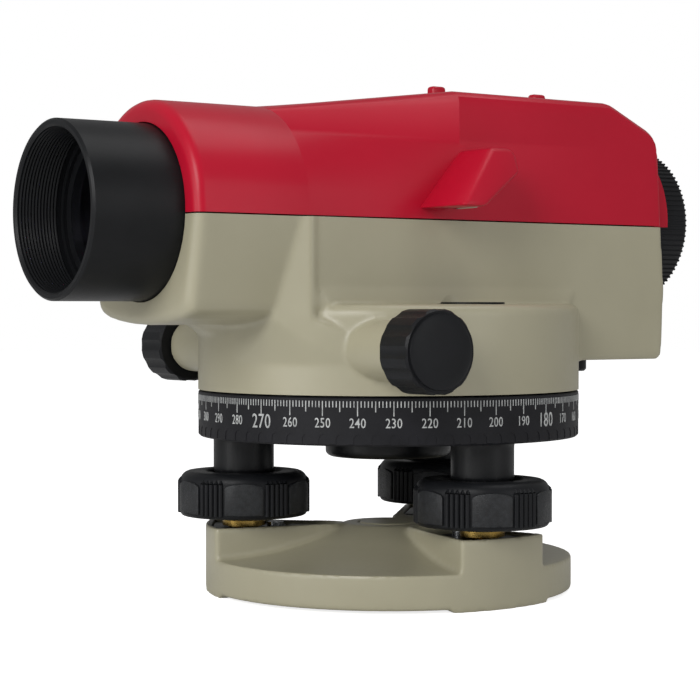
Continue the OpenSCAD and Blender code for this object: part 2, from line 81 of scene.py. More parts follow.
def makeRamp(tree, fac, stops):
    ramp = addNode(tree, "ShaderNodeValToRGB", links={"Fac": fac})
    for i, (at, colour) in enumerate(stops):
        element = ramp.color_ramp.elements[i] if i < 2 else ramp.color_ramp.elements.new(at)
        element.position = at
        element.color = toLinear(colour)
    return ramp.outputs["Color"]


# a surface with clouded colour, fine grain in its gloss and one or two scales of bump
def makeSurface(name, look):
    material = bpy.data.materials.new(name)
    material.use_nodes = True
    tree = material.node_tree
    shader = tree.nodes["Principled BSDF"]
    for key, value in look.get("shader", {}).items():
        shader.inputs[key].default_value = value
    place = addNode(tree, "ShaderNodeTexCoord").outputs["Object"]
    cloud = addNode(tree, "ShaderNodeTexNoise", {"Scale": 1 / (look["cloudMm"] * mm), "Detail": 4},
                    {"Vector": place})
    colour = makeRamp(tree, cloud.outputs["Fac"], [(0.3, look["dark"]), (0.7, look["light"])])
    tree.links.new(colour, shader.inputs["Base Color"])
    grain = addNode(tree, "ShaderNodeTexNoise", {"Scale": 1 / (look["grainMm"] * mm), "Detail": 5,
                    "Roughness": 0.6}, {"Vector": place})
    low, high = look["roughness"]
    gloss = addNode(tree, "ShaderNodeMapRange", {"From Min": 0.3, "From Max": 0.7, "To Min": low,
                    "To Max": high}, {"Value": grain.outputs["Fac"]})
    tree.links.new(gloss.outputs["Result"], shader.inputs["Roughness"])
    bump = addNode(tree, "ShaderNodeBump", {"Strength": look.get("bump", 0.3),
                   "Distance": look["bumpMm"] * mm}, {"Height": grain.outputs["Fac"]})
    if "turnedAlong" in look:
        turned = addNode(tree, "ShaderNodeTexWave", {"Scale": pi / (10 * look["turnedMm"] * mm),
                         "Distortion": 0.6, "Detail": 1}, {"Vector": place}, wave_type="BANDS",
                         bands_direction=look["turnedAlong"])
        bump = addNode(tree, "ShaderNodeBump", {"Strength": 0.25, "Distance": 0.02 * mm},
                       {"Height": turned.outputs["Fac"], "Normal": bump.outputs["Normal"]})
    tree.links.new(bump.outputs["Normal"], shader.inputs["Normal"])
    return material


# beige two-part paint on cast aluminium: satin, with a fine orange peel
beigePaint = makeSurface("beigeSatinPaint", {
    "dark": "#a29d85", "light": "#a9a48c", "cloudMm": 26, "grainMm": 1.3, "roughness": (0.36, 0.44),
    "bumpMm": 0.03, "bump": 0.25, "shader": {"IOR": 1.5, "Coat Weight": 0.15, "Coat Roughness": 0.3}})
# red gloss enamel on cast aluminium: deeper gloss, softer orange peel
redPaint = makeSurface("redGlossEnamel", {
    "dark": "#b40f2a", "light": "#ba112d", "cloudMm": 30, "grainMm": 2.4, "roughness": (0.3, 0.36),
    "bumpMm": 0.02, "bump": 0.15, "shader": {"IOR": 1.5, "Specular IOR Level": 0.22, "Coat Weight": 0.08,
                                            "Coat Roughness": 0.24}})
# moulded ABS: satin black with a fine tool grain
blackPlastic = makeSurface("mouldedBlackAbs", {
    "dark": "#141517", "light": "#191a1d", "cloudMm": 9, "grainMm": 0.5, "roughness": (0.36, 0.5),
    "bumpMm": 0.03, "bump": 0.4, "shader": {"IOR": 1.53, "Specular IOR Level": 0.18}})
# spark-eroded grain on the grips: sparkling, rougher than the plain moulding
grainedPlastic = makeSurface("sparkErodedAbs", {
    "dark": "#131416", "light": "#232528", "cloudMm": 1.2, "grainMm": 0.35, "roughness": (0.34, 0.62),
    "bumpMm": 0.14, "bump": 0.8, "shader": {"IOR": 1.53, "Specular IOR Level": 0.4}})
# circle ring: moulded plastic a little paler than the knobs
circlePlastic = makeSurface("mouldedCirclePlastic", {
    "dark": "#17171a", "light": "#1d1d21", "cloudMm": 7, "grainMm": 0.45, "roughness": (0.42, 0.55),
    "bumpMm": 0.03, "bump": 0.4, "shader": {"IOR": 1.53, "Specular IOR Level": 0.18}})
# pad-printed ink for the graduation, slightly worn
markInk = makeSurface("paleMarkInk", {
    "dark": "#9a9c9c", "light": "#c9cbca", "cloudMm": 1.5, "grainMm": 0.3, "roughness": (0.5, 0.65),
    "bumpMm": 0.01, "bump": 0.2, "shader": {"IOR": 1.5}})
# black anodised aluminium: satin, turned along the telescope
blackAnodised = makeSurface("blackAnodisedAluminium", {
    "dark": "#111214", "light": "#17181a", "cloudMm": 12, "grainMm": 0.25, "roughness": (0.34, 0.46),
    "bumpMm": 0.02, "bump": 0.3, "turnedAlong": "X", "turnedMm": 0.3,
    "shader": {"IOR": 1.6, "Specular IOR Level": 0.15}})
# stove enamel on the tribrach casting
blackEnamel = makeSurface("blackStoveEnamel", {
    "dark": "#111214", "light": "#18191b", "cloudMm": 14, "grainMm": 0.6, "roughness": (0.32, 0.44),
    "bumpMm": 0.04, "bump": 0.35, "shader": {"IOR": 1.5, "Specular IOR Level": 0.3}})
# oil-blacked spring steel: dark metal with brownish clouds
blackSteel = makeSurface("oilBlackedSteel", {
    "dark": "#232325", "light": "#383633", "cloudMm": 5, "grainMm": 0.4, "roughness": (0.28, 0.45),
    "bumpMm": 0.02, "shader": {"Metallic": 0.85}})
brightSteel = makeSurface("turnedSteel", {
    "dark": "#9a9da0", "light": "#b6b9bb", "cloudMm": 6, "grainMm": 0.3, "roughness": (0.2, 0.34),
    "bumpMm": 0.01, "shader": {"Metallic": 1.0}})
turnedBrass = makeSurface("turnedBrass", {
    "dark": "#a78845", "light": "#c6a862", "cloudMm": 5, "grainMm": 0.3, "roughness": (0.22, 0.38),
    "bumpMm": 0.01, "shader": {"Metallic": 1.0}})
brightAluminium = makeSurface("turnedAluminium", {
    "dark": "#a9abad", "light": "#c4c6c8", "cloudMm": 6, "grainMm": 0.3, "roughness": (0.25, 0.4),
    "bumpMm": 0.012, "shader": {"Metallic": 1.0}})
mirrorGlass = makeSurface("frontSilveredMirror", {
    "dark": "#d4d7d9", "light": "#dcdfe0", "cloudMm": 20, "grainMm": 3, "roughness": (0.02, 0.05),
    "bumpMm": 0.001, "shader": {"Metallic": 1.0}})
# coated crown glass: clear, with a faint violet bloom
opticalGlass = makeSurface("coatedCrownGlass", {
    "dark": "#dfe6ee", "light": "#e8eef4", "cloudMm": 30, "grainMm": 5, "roughness": (0.01, 0.03),
    "bumpMm": 0.001, "shader": {"IOR": 1.52, "Transmission Weight": 1.0, "Coat Weight": 0.4,
                                "Coat Tint": toLinear("#b9a8ff")}})
print("materials made")


# mesh helpers: every size is in millimetres until a piece is finished
def machined(bm, width, minAngle=30, segments=2):
    bm.normal_update()
    sharp = [e for e in bm.edges if len(e.link_faces) == 2 and e.calc_face_angle(0) > radians(minAngle)]
    bmesh.ops.bevel(bm, geom=sharp, offset=width, offset_type="OFFSET", affect="EDGES",
                    segments=segments, profile=0.5, material=-1)
    return bm


# a wall turned on a lathe: profile is a closed loop of (radius, height) round the wall
def turned(profile, origin=(0, 0, 0), axis=(0, 0, 1), steps=128, bevel=0, smoothFrom=30):
    bm = bmesh.new()
    ring = [bm.verts.new((r, 0, h)) for r, h in profile]
    edges = [bm.edges.new((a, b)) for a, b in zip(ring, ring[1:] + ring[:1])]
    bmesh.ops.spin(bm, geom=ring + edges, cent=(0, 0, 0), axis=(0, 0, 1), angle=2 * pi, steps=steps,
                   use_merge=True)
    bmesh.ops.remove_doubles(bm, verts=bm.verts, dist=1e-4)
    bmesh.ops.dissolve_degenerate(bm, edges=bm.edges, dist=1e-5)
    bmesh.ops.recalc_face_normals(bm, faces=bm.faces)
    if bevel:
        machined(bm, bevel, smoothFrom)
    return placed(bm, origin, axis)


def placed(bm, origin, axis=(0, 0, 1), turn=0):
    lean = Vector((0, 0, 1)).rotation_difference(Vector(axis)).to_matrix().to_4x4()
    spot = Matrix.Translation(Vector(origin)) @ lean @ Matrix.Rotation(radians(turn), 4, "Z")
    bmesh.ops.transform(bm, matrix=spot, verts=bm.verts)
    return bm


def rod(radius, low, high, origin=(0, 0, 0), axis=(0, 0, 1), segments=96, topRadius=None):
    bm = bmesh.new()
    bmesh.ops.create_cone(bm, cap_ends=True, segments=segments, radius1=radius,
                          radius2=radius if topRadius is None else topRadius, depth=high - low,
                          matrix=Matrix.Translation((0, 0, (low + high) / 2)))
    return placed(bm, origin, axis)


# a prism drawn from its outline between two levels; flat tells the plane of the outline
def prism(outline, low, high, flat="XY"):
    corners = {"XY": lambda a, b: (a, b, low), "XZ": lambda a, b: (a, low, b),
               "YZ": lambda a, b: (low, a, b)}[flat]
    lift = {"XY": (0, 0, high - low), "XZ": (0, high - low, 0), "YZ": (high - low, 0, 0)}[flat]
    bm = bmesh.new()
    face = bm.faces.new([bm.verts.new(corners(a, b)) for a, b in outline])
    grown = bmesh.ops.extrude_face_region(bm, geom=[face])
    bmesh.ops.translate(bm, vec=lift, verts=[v for v in grown["geom"] if isinstance(v, bmesh.types.BMVert)])
    bmesh.ops.recalc_face_normals(bm, faces=bm.faces)
    return bm


def hulled(*parts):
    bm = joined(*parts)
    made = bmesh.ops.convex_hull(bm, input=bm.verts)
    bmesh.ops.delete(bm, geom=[g for g in made["geom_interior"] if isinstance(g, bmesh.types.BMVert)],
                     context="VERTS")
    loose = [f for f in bm.faces if f in set(made["geom_unused"])]
    bmesh.ops.delete(bm, geom=loose, context="FACES")
    bmesh.ops.recalc_face_normals(bm, faces=bm.faces)
    return bm


def joined(*parts):
    whole = bmesh.new()
    for part in parts:
        mesh = bpy.data.meshes.new("part")
        part.to_mesh(mesh)
        part.free()
        whole.from_mesh(mesh)
        bpy.data.meshes.remove(mesh)
    return whole


def applied(bm, *modifiers):
    mesh = bpy.data.meshes.new("work")
    bm.to_mesh(mesh)
    bm.free()
    work = bpy.data.objects.new("work", mesh)
    scene.collection.objects.link(work)
    for kind, settings in modifiers:
        modifier = work.modifiers.new(kind, kind)
        for key, value in settings.items():
            setattr(modifier, key, value)
    bpy.context.view_layer.update()
    final = bpy.data.meshes.new_from_object(work.evaluated_get(bpy.context.evaluated_depsgraph_get()))
    result = bmesh.new()
    result.from_mesh(final)
    bpy.data.objects.remove(work)
    bpy.data.meshes.remove(mesh)
    bpy.data.meshes.remove(final)
    return result


# overlapping closed solids fused into one casting, whose edges the smoothing rounds
def cast(bm, voxel, passes):
    return applied(bm, ("REMESH", {"mode": "VOXEL", "voxel_size": voxel, "adaptivity": 0}),
                   ("SMOOTH", {"factor": 0.5, "iterations": passes}))


def carved(bm, cutter, operation="DIFFERENCE"):
    mesh = bpy.data.meshes.new("cutter")
    cutter.to_mesh(mesh)
    cutter.free()
    tool = bpy.data.objects.new("cutter", mesh)
    scene.collection.objects.link(tool)
    result = applied(bm, ("BOOLEAN", {"object": tool, "operation": operation, "solver": "MANIFOLD"}))
    bpy.data.objects.remove(tool)
    bpy.data.meshes.remove(mesh)
    return result


def slicedFlat(bm, point, outward):
    cut = bmesh.ops.bisect_plane(bm, geom=bm.verts[:] + bm.edges[:] + bm.faces[:], dist=1e-4,
                                 plane_co=point, plane_no=outward, clear_outer=True)
    edges = [e for e in cut["geom_cut"] if isinstance(e, bmesh.types.BMEdge) and e.is_boundary]
    bmesh.ops.holes_fill(bm, edges=edges, sides=0)
    return bm


# millimetres to metres, onto its body, in its material slot
def finished(name, bm, material, body, stands=(), sharpAngle=32):
    bmesh.ops.scale(bm, vec=(mm, mm, mm), verts=bm.verts)
    mesh = bpy.data.meshes.new(name)
    bm.to_mesh(mesh)
    bm.free()
    for one in material if isinstance(material, list) else [material]:
        mesh.materials.append(one)
    mesh.shade_smooth()
    mesh.set_sharp_from_angle(angle=radians(sharpAngle))
    piece = bpy.data.objects.new(name, mesh)
    scene.collection.objects.link(piece)
    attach(piece, body)
    if stands:
        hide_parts(*stands)
    return piece


def middle(node):
    low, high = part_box(node)
    return (low + high) / (2 * mm)


# directions and heights shared by several pieces, read from the frame
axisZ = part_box("objective_tube")
axisZ = (axisZ[0].z + axisZ[1].z) / (2 * mm)
legs = [middle(f"foot_knob_{n}") for n in (1, 2, 3)]
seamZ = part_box("main_housing")[1].z / mm
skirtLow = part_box("main_housing")[0].z / mm


# housing casting: round skirt, box behind, barrel in front and the flared web between them
housing = {"skirtR": 50, "shoulderZ": 74.7, "boxY": 28.7, "rearX": -71, "rearBulge": 1.2, "rearFloorZ": 60,
           "barrelX": 74, "frontRound": 2.4, "flareX": 50.2, "flareY": 23.2, "flareBackX": 43.4,
           "crest": 0.55, "bossR": 7.2, "bossY": 50.9, "boreR": 21.85, "levelR": 8.05, "scoopR": 9.1,
           "rootTop": (-40, 41, 0, 78.6), "rootFoot": (-37, 39, 1, 74.2), "flareRootX": 20, "flareRunX": 2.2,
           "footZ": ((1, 60), (-1, 67)), "voxel": 0.6, "passes": 6,
           # rounded corner between the flare's crest and the skirt's shoulder, as (x, z)
           "corner": [(42, 74), (42, 78.5), (41, 76.6), (40, 75.6), (38, 74.7), (38, 74)]}
# half-section of the barrel below the seam: (half width, height), with a domed underside
barrelSection = [(27.6, 100), (27.5, 95.7), (23.5, 75.0), (22.9, 73.3), (21.6, 72.2), (18.5, 71.2),
                 (13.5, 70.4), (7, 69.8), (0, 69.6)]


def barrelSlab(x, shrink):
    half = [(max(w - shrink, 0), z + shrink * (0 if z > 95 else 0.8)) for w, z in barrelSection]
    loop = [(-w, z) for w, z in half] + [(w, z) for w, z in half[-2::-1]]
    return prism(loop, x - 0.2, x, "YZ")


def housingCasting(h):
    low, seam = skirtLow, seamZ
    skirt = rod(h["skirtR"] - 0.05, low - 3, h["shoulderZ"], segments=160)
    rim = [e for e in skirt.edges if all(abs(v.co.z - h["shoulderZ"]) < 0.1 for v in e.verts)]
    bmesh.ops.bevel(skirt, geom=rim, offset=2.6, offset_type="OFFSET", affect="EDGES", segments=5,
                    profile=0.5, material=-1)
    r, y = h["rearX"], h["boxY"]
    side = [(30, seam + 4), (r + 0.1, seam + 4), (r, seam), (r - h["rearBulge"], 79),
            (r - 0.3, h["rearFloorZ"] + 1.2), (r + 0.9, h["rearFloorZ"]), (-32, h["rearFloorZ"]),
            (-32, 70), (30, 70)]
    box = prism(side, -y, y, "XZ")
    root = hulled(*[prism([(back, 0), (ahead, 0), (ahead, y + wider), (back, y + wider)], z, z + 0.2)
                    for back, ahead, wider, z in (h["rootTop"], h["rootFoot"])])
    fx, fb, by = h["flareX"], h["flareBackX"], h["flareY"]
    half = [(h["flareRootX"], y), (fb - h["flareRunX"], y), (fb, y + h["crest"]), (fx, by)]
    web = half + [(a, -b) for a, b in half[::-1]]
    flare = prism(web, 71, seam + 4, "XY")
    corner = prism(h["corner"], -y - 0.4, y + 0.4, "XZ")
    full, edge = h["barrelX"], h["frontRound"]
    slabs = [barrelSlab(x, shrink) for x, shrink in (
        (fb, 0), (full - edge, 0), (full - edge * 0.6, edge * 0.1), (full - edge * 0.25, edge * 0.4),
        (full, edge))]
    barrel = hulled(*slabs)
    feet = [hulled(prism([(h["flareRootX"], 0)] + [(a, side * b) for a, b in half] + [(fx, 0)], 71, 71.2),
                   rod(h["skirtR"] - 0.1, z, z + 0.2, segments=160)) for side, z in h["footZ"]]
    shaft = middle("tangent_shaft")
    bosses = rod(h["bossR"], -h["bossY"], h["bossY"], (shaft.x, 0, shaft.z), (0, 1, 0))
    solid = cast(joined(skirt, box, root, flare, corner, barrel, bosses, *feet), h["voxel"], h["passes"])
    slicedFlat(solid, (0, 0, seam), (0, 0, 1))
    slicedFlat(solid, (0, 0, low), (0, 0, -1))
    solid = carved(solid, rod(h["boreR"], h["barrelX"] - 7, h["barrelX"] + 6, (0, 0, axisZ), (1, 0, 0)))
    level = middle("level_cup")
    solid = carved(solid, rod(h["scoopR"], h["shoulderZ"] - 0.05, 90, (level.x, level.y, 0), segments=128))
    return carved(solid, rod(h["levelR"], 66, 80, (level.x, level.y, 0), segments=128))


finished("housing", housingCasting(housing), beigePaint, "instrument", ["main_housing"])
print("housing made")


# cover casting: half-round in front, drawn out through a cheek to a flat-topped box behind
cover = {"frontX": 74, "frontRound": 2.9, "archR": 27.3, "bandZ": 102.5, "seamY": 27.45, "archBackX": 42.5,
         "cheekX": -1.7, "boxY": 28.7, "lean": 0.5, "topRound": 3, "topZ": 128.6, "matchAngle": 70,
         "roof": ((-52.4, 128.6), (-53.6, 128.35), (-54.8, 127.9), (-66.9, 122.3), (-68.3, 121.4),
                  (-69.4, 119.8), (-70.2, 118)), "rearX": -71, "gap": 0.35, "boreR": 21.85,
         "collarR": 24.5, "collarInR": 22.4, "collarX": -78}


# one side of a section, from the seam up to the middle of the roof, always with the same number of points
def archHalf(c, shrink=0):
    r = c["archR"] - shrink
    first = asin((c["bandZ"] - axisZ) / c["archR"])
    last = radians(c["matchAngle"])
    side = [(c["seamY"] - shrink, seamZ + c["gap"]), (c["seamY"] - 0.35 - shrink, seamZ + 3.4)]
    side += [(r * cos(a), axisZ + r * sin(a)) for a in (first + (last - first) * i / 14 for i in range(15))]
    side += [(r * cos(a), axisZ + r * sin(a)) for a in (last + (pi / 2 - last) * i / 6 for i in range(1, 7))]
    return side


def boxHalf(c, topZ, shrink=0, narrow=0):
    r, foot = c["topRound"], seamZ + c["gap"]
    y, lean, top = c["boxY"] - shrink - narrow, c["lean"], topZ - shrink
    side = [(y - lean * t, foot + (top - r - foot) * t) for t in (i / 16 for i in range(17))]
    inner = y - lean - r
    turn = [(inner + r * cos(a), top - r + r * sin(a)) for a in (radians(30), radians(60), radians(90))]
    return side + turn + [(inner * 0.6, top), (inner * 0.25, top), (0, top)]


# skin drawn over a row of sections, each a list of (y, z), with x as a number or a function of z
def lofted(sections):
    bm = bmesh.new()
    rows = []
    for x, half in sections:
        at = x if callable(x) else (lambda z, x=x: x)
        loop = [(y, z) for y, z in half] + [(-y, z) for y, z in half[-2::-1]]
        rows.append([bm.verts.new((at(z), y, z)) for y, z in loop])
    for a, b in zip(rows, rows[1:]):
        for i in range(len(a)):
            j = (i + 1) % len(a)
            bm.faces.new((a[i], a[j], b[j], b[i]))
    for row in (rows[0], rows[-1]):
        bm.faces.new(row)
    bmesh.ops.recalc_face_normals(bm, faces=bm.faces)
    return bm


def coverCasting(c):
    x, e = c["frontX"], c["frontRound"]
    rounded = [(x - e + e * sin(radians(a)), e - e * cos(radians(a))) for a in (90, 72, 54, 36, 18, 0)]
    front = [(at, archHalf(c, shrink)) for at, shrink in rounded]
    front += [(c["archBackX"] + 0.4, archHalf(c)), (c["archBackX"], archHalf(c))]
    rear = [(c["cheekX"], boxHalf(c, c["topZ"]))] + [
        (at, boxHalf(c, z)) for at, z in c["roof"][:-1]]
    at, z = c["roof"][-1]
    slope = (at - c["rearX"]) / (z - seamZ)
    for back, narrow in ((0.9, 0), (0.35, 0.25), (0.06, 0.85), (0, 1.4)):
        rear.append((lambda h, back=back: c["rearX"] + back + slope * (h - seamZ), boxHalf(c, z, 0, narrow)))
    shell = lofted(front + rear)
    eyeZ = middle("eyepiece_ring").z
    collar = turned([(c["collarInR"], c["collarX"]), (c["collarR"] - 0.8, c["collarX"]),
                     (c["collarR"], c["collarX"] + 0.8), (c["collarR"], c["rearX"] + 2),
                     (c["collarInR"], c["rearX"] + 2)], (0, 0, eyeZ), (1, 0, 0))
    slicedFlat(collar, (0, 0, seamZ + c["gap"]), (0, 0, -1))
    return carved(shell, rod(c["boreR"], x - 7, x + 6, (0, 0, axisZ), (1, 0, 0))), collar


# mirror hood beside the cover and the two aiming ridges on its roof
hood = {"outline": [(10.8, 98.5), (-2.3, 113.5), (-8.4, 113.5), (-9.8, 112), (-9.8, 107.4), (3.6, 98.4)],
        "rootY": 27, "endY": 46.15, "endZ": 98.4, "endLean": 20, "edge": 1.3}
sights = {"x": (-18.2, -53.1), "long": 4.6, "wide": 3, "topZ": 133, "edge": 0.9}


def mirrorHood(h):
    lean = radians(h["endLean"])
    wedge = prism(h["outline"], h["rootY"], h["endY"] + 1, "XZ")
    slicedFlat(wedge, (0, h["endY"], h["endZ"]), (0, cos(lean), sin(lean)))
    bmesh.ops.dissolve_limit(wedge, angle_limit=radians(2), verts=wedge.verts, edges=wedge.edges)
    return machined(wedge, h["edge"], 25, 4)


def aimingRidge(d, x):
    ridge = prism([(x, -d["wide"] / 2), (x + d["long"], -d["wide"] / 2), (x + d["long"], d["wide"] / 2),
                   (x, d["wide"] / 2)], 126, d["topZ"])
    return machined(ridge, d["edge"], 30, 3)


shell, collar = coverCasting(cover)
finished("cover", joined(shell, collar, mirrorHood(hood), *[aimingRidge(sights, x) for x in sights["x"]]),
         redPaint, "instrument", ["top_cover"], 24)
print("cover made")


# front-silvered mirror glued under the hood, tucked in from its open end
mirror = {"outline": [(-8.52, 106.54), (2.6, 99.07), (2.16, 98.41), (-8.96, 105.88)], "rootY": 30.8,
          "endY": 40.2}
finished("bubbleMirror", prism(mirror["outline"], mirror["rootY"], mirror["endY"], "XZ"), mirrorGlass,
         "instrument", ["bubble_mirror"])
print("mirror made")


# a copy of a CAD node in millimetres, for a piece that only softens it
def cadCopy(node):
    bm = bmesh.new()
    bm.from_mesh(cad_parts[node].data)
    bmesh.ops.scale(bm, vec=(1000, 1000, 1000), verts=bm.verts)
    bmesh.ops.remove_doubles(bm, verts=bm.verts, dist=1e-4)
    return bm


# a block that follows a round wall: outline in (degrees, height), between two radii
def wrapped(outline, inner, outer, centre, startAngle):
    bm = bmesh.new()
    rings = []
    for r in (inner, outer):
        rings.append([bm.verts.new((centre[0] + r * cos(radians(startAngle + a)),
                                    centre[1] + r * sin(radians(startAngle + a)), z)) for a, z in outline])
    bm.faces.new(rings[0])
    bm.faces.new(rings[1])
    for i in range(len(outline)):
        j = (i + 1) % len(outline)
        bm.faces.new((rings[0][i], rings[0][j], rings[1][j], rings[1][i]))
    bmesh.ops.triangulate(bm, faces=[f for f in bm.faces if len(f.verts) > 4])
    bmesh.ops.recalc_face_normals(bm, faces=bm.faces)
    return bm


# objective: turned tube with a threaded mouth
tube = {"outerR": 21.55, "mouthR": 19.6, "seatR": 18.3, "boreR": 15.4, "spigotR": 17.98, "frontX": 97.7,
        "seatX": 75, "stepX": 85.5, "pitch": 0.85, "threadDepth": 0.2, "chamfer": 0.55, "backX": 67,
        "spigotX": 58}
front = tube["frontX"]
thread = [(tube["mouthR"] + 0.5, front), (tube["mouthR"], front - 0.5)]
turnX = front - 1.0
while turnX > tube["stepX"] + 1.6:
    thread += [(tube["mouthR"], turnX), (tube["mouthR"] - tube["threadDepth"], turnX - tube["pitch"] * 0.45),
               (tube["mouthR"], turnX - tube["pitch"] * 0.9)]
    turnX -= tube["pitch"]
wall = [(tube["outerR"], tube["backX"]), (tube["outerR"], front - tube["chamfer"]),
        (tube["outerR"] - tube["chamfer"], front)] + thread + [
    (tube["mouthR"], tube["stepX"]), (tube["seatR"], tube["stepX"]), (tube["seatR"], tube["seatX"]),
    (tube["boreR"], tube["seatX"]), (tube["boreR"], tube["spigotX"]), (tube["spigotR"], tube["spigotX"]),
    (tube["spigotR"], tube["backX"])]
finished("objectiveTube", turned(wall, (0, 0, axisZ), (1, 0, 0), 160), blackAnodised, "instrument",
         ["objective_tube"], 25)


# base plate casting: the node's own shape with the soft edges of a painted casting
# the ball sockets are cut again after the softening, so the foot screws' balls turn freely in them
socket = {"ballR": 5.5, "gap": 0.25}
plate = cast(cadCopy("base_plate"), 0.62, 6)
for number, leg in enumerate(legs, 1):
    ball = bmesh.new()
    bmesh.ops.create_uvsphere(ball, u_segments=48, v_segments=24, radius=socket["ballR"] + socket["gap"])
    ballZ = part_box(f"foot_spindle_{number}")[0].z / mm + socket["ballR"]
    plate = carved(plate, placed(ball, (leg.x, leg.y, ballZ), (0, 0, 1)))
finished("basePlate", plate, beigePaint, "base", ["base_plate"], 40)
finished("tribrachHead", cast(cadCopy("tribrach_head"), 0.6, 4), blackEnamel, "tribrach",
         ["tribrach_head"], 40)
print("base made")


# foot knobs: moulded, six grained finger pads with groups of ridges between them
knob = {"baseR": 16.55, "padR": 17.15, "ridgeR": 0.62, "low": 19.85, "top": 31.45, "shoulder": 2.6,
        "foot": 1.0, "recessR": 9.8, "recess": 3, "boreR": 6.2, "padHalf": 17, "padLow": 21.0,
        "padTop": 29.2, "ridgeStep": 4.6, "firstPad": (60, 46, 58.5)}
knobBodies = ("foot_knob_1", "foot_screw_2", "foot_screw_3")


def footKnob(k, centre, firstPad):
    low, top, sh, ft = k["low"], k["top"], k["shoulder"], k["foot"]
    arc = [(k["baseR"] - sh + sh * sin(radians(a)), top - sh + sh * cos(radians(a)))
           for a in range(0, 91, 15)]
    heel = [(k["baseR"] - ft + ft * cos(radians(a)), low + ft - ft * sin(radians(a)))
            for a in range(0, 91, 22)]
    profile = [(k["boreR"], low), (k["boreR"], top - k["recess"]), (k["recessR"] - 0.3, top - k["recess"]),
               (k["recessR"], top - 0.4), (k["recessR"] + 0.5, top)] + arc + heel
    shell = turned(profile, (centre.x, centre.y, 0), steps=144)
    pads, ridges = [], []
    half, padTop = k["padHalf"], k["padTop"]
    arch = [(-half, k["padLow"])] + [(half * (i / 6 - 1), k["padLow"]) for i in range(1, 12)] + [
        (half, k["padLow"]), (half, padTop - 1.4)]
    arch += [(half * cos(radians(a)), padTop - 1.4 + 1.4 * sin(radians(a))) for a in range(15, 166, 15)]
    arch += [(-half, padTop - 1.4)]
    for i in range(6):
        pad = wrapped(arch, k["baseR"] - 0.8, k["padR"], centre, firstPad + 60 * i)
        pads.append(machined(pad, 0.3, 50))
        for step in (-2, -1, 0, 1, 2):
            angle = radians(firstPad + 30 + 60 * i + k["ridgeStep"] * step)
            at = (centre.x + (k["baseR"] + 0.05) * cos(angle), centre.y + (k["baseR"] + 0.05) * sin(angle), 0)
            ridge = rod(k["ridgeR"], low + 0.9, top - 2.6, at, segments=16)
            tip = rod(k["ridgeR"], 0, 2.0, segments=16, topRadius=k["ridgeR"] * 0.6)
            lean = Matrix.Translation((at[0], at[1], top - 2.65)) @ Matrix.Rotation(angle, 4, "Z") \
                @ Matrix.Rotation(radians(-38), 4, "Y")
            bmesh.ops.transform(tip, matrix=lean, verts=tip.verts)
            ridges += [ridge, tip]
    return joined(shell, *ridges), joined(*pads)


for i, body in enumerate(knobBodies):
    shell, pads = footKnob(knob, legs[i], knob["firstPad"][i])
    finished(f"footKnob{i + 1}", shell, blackPlastic, body, [f"foot_knob_{i + 1}"], 40)
    finished(f"footKnobPads{i + 1}", pads, grainedPlastic, body, [f"foot_knob_{i + 1}"], 40)
print("foot knobs made")


# horizontal circle: moulded ring, its marks and numbers standing a hair proud of it
circle = {"outerR": 49.88, "low": 40.6, "high": 52.3, "innerR": 47.5, "webLow": 50.8, "webHigh": 51.2,
          "boreR": 14.1, "edge": 0.5, "markR": 49.86, "proud": 0.1, "markWidth": 0.24,
          "ticks": ((10, 3.6), (5, 2.6), (1, 1.5)), "tickGap": 0.85, "digitZ": 46.2, "digitHigh": 2.35,
          "digitWide": 0.78, "quarterHigh": 3.5, "zeroAngle": 285.8,
          "flutes": 72, "fluteHalf": 1.35, "fluteHigh": 2.9}


def circleRing(c):
    lo, hi, e = c["low"], c["high"], c["edge"]
    profile = [(c["outerR"] - e, lo), (c["outerR"], lo + e), (c["outerR"], hi - e * 0.5),
               (c["outerR"] - e * 0.5, hi), (c["innerR"], hi), (c["innerR"], c["webHigh"]),
               (c["boreR"], c["webHigh"]), (c["boreR"], c["webLow"] - 1),
               (c["innerR"], c["webLow"] - 1), (c["innerR"], lo)]
    return turned(profile, steps=360)


def fluteCutter(c, angle):
    half, high = degrees(c["fluteHalf"] / c["outerR"]), c["low"] + c["fluteHigh"] - c["fluteHalf"]
    arch = [(-half, c["low"] - 1), (half, c["low"] - 1)]
    arch += [(half * cos(radians(a)), high + c["fluteHalf"] * sin(radians(a))) for a in range(0, 181, 20)]
    return wrapped(arch, c["outerR"] - 0.12, c["outerR"] + 1, (0, 0), angle)


ring = circleRing(circle)
ring = carved(ring, joined(*[fluteCutter(circle, 360 / circle["flutes"] * i + 1.2)
                             for i in range(circle["flutes"])]))
finished("circleRing", ring, circlePlastic, "circle", ["horizontal_circle"], 30)


def circleMarks(c):
    marks = bmesh.new()
    half = degrees(c["markWidth"] / 2 / c["markR"])
    for degree in range(360):
        length = next(size for step, size in c["ticks"] if degree % step == 0)
        high = c["high"] - c["tickGap"]
        outline = [(-half, high - length), (half, high - length), (half, high), (-half, high)]
        tick = wrapped(outline, c["markR"] - 0.1, c["markR"] + c["proud"], (0, 0), c["zeroAngle"] - degree)
        mesh = bpy.data.meshes.new("tick")
        tick.to_mesh(mesh)
        tick.free()
        marks.from_mesh(mesh)
        bpy.data.meshes.remove(mesh)
    return marks


